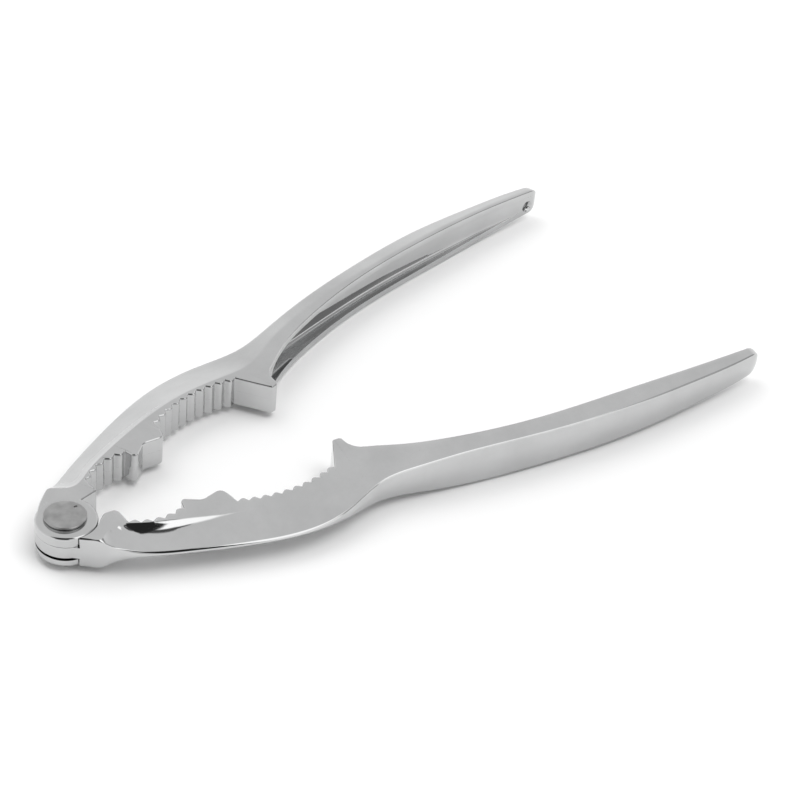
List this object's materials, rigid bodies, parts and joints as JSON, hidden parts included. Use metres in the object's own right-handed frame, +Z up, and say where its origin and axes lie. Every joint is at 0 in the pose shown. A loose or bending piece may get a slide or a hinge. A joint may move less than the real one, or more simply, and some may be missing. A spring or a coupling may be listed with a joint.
{
  "type": "lever nutcracker",
  "caption": "Hand-held lever nutcracker with curved handles hollowed on the inside and toothed jaws for large and small nuts, turning on a riveted hinge.",
  "frame": {"origin": "on the pivot axis, at the flat underside of the rivet's lower head", "axes": "+X from the pivot along the middle of the tool to between the handle ends, +Y towards the fork arm, +Z up along the pivot axis"},
  "size_m": [0.1658, 0.0794, 0.0103],
  "materials": {
    "chrome_casting": "bright chrome plate over a die casting, slightly wavy",
    "rivet_steel": "satin"
  },
  "bodies": {
    "fork_side": {"fork_arm": "chrome_casting", "pivot_rivet": "rivet_steel"},
    "tongue_side": {"tongue_arm": "chrome_casting"}
  },
  "joints": [
    {"name": "jaw_hinge", "type": "hinge", "parent": "fork_side", "child": "tongue_side", "pos_m": [0, 0, 0.00465], "axis": [0, 0, 1], "range_deg": [-120, 19.8]}
  ]
}
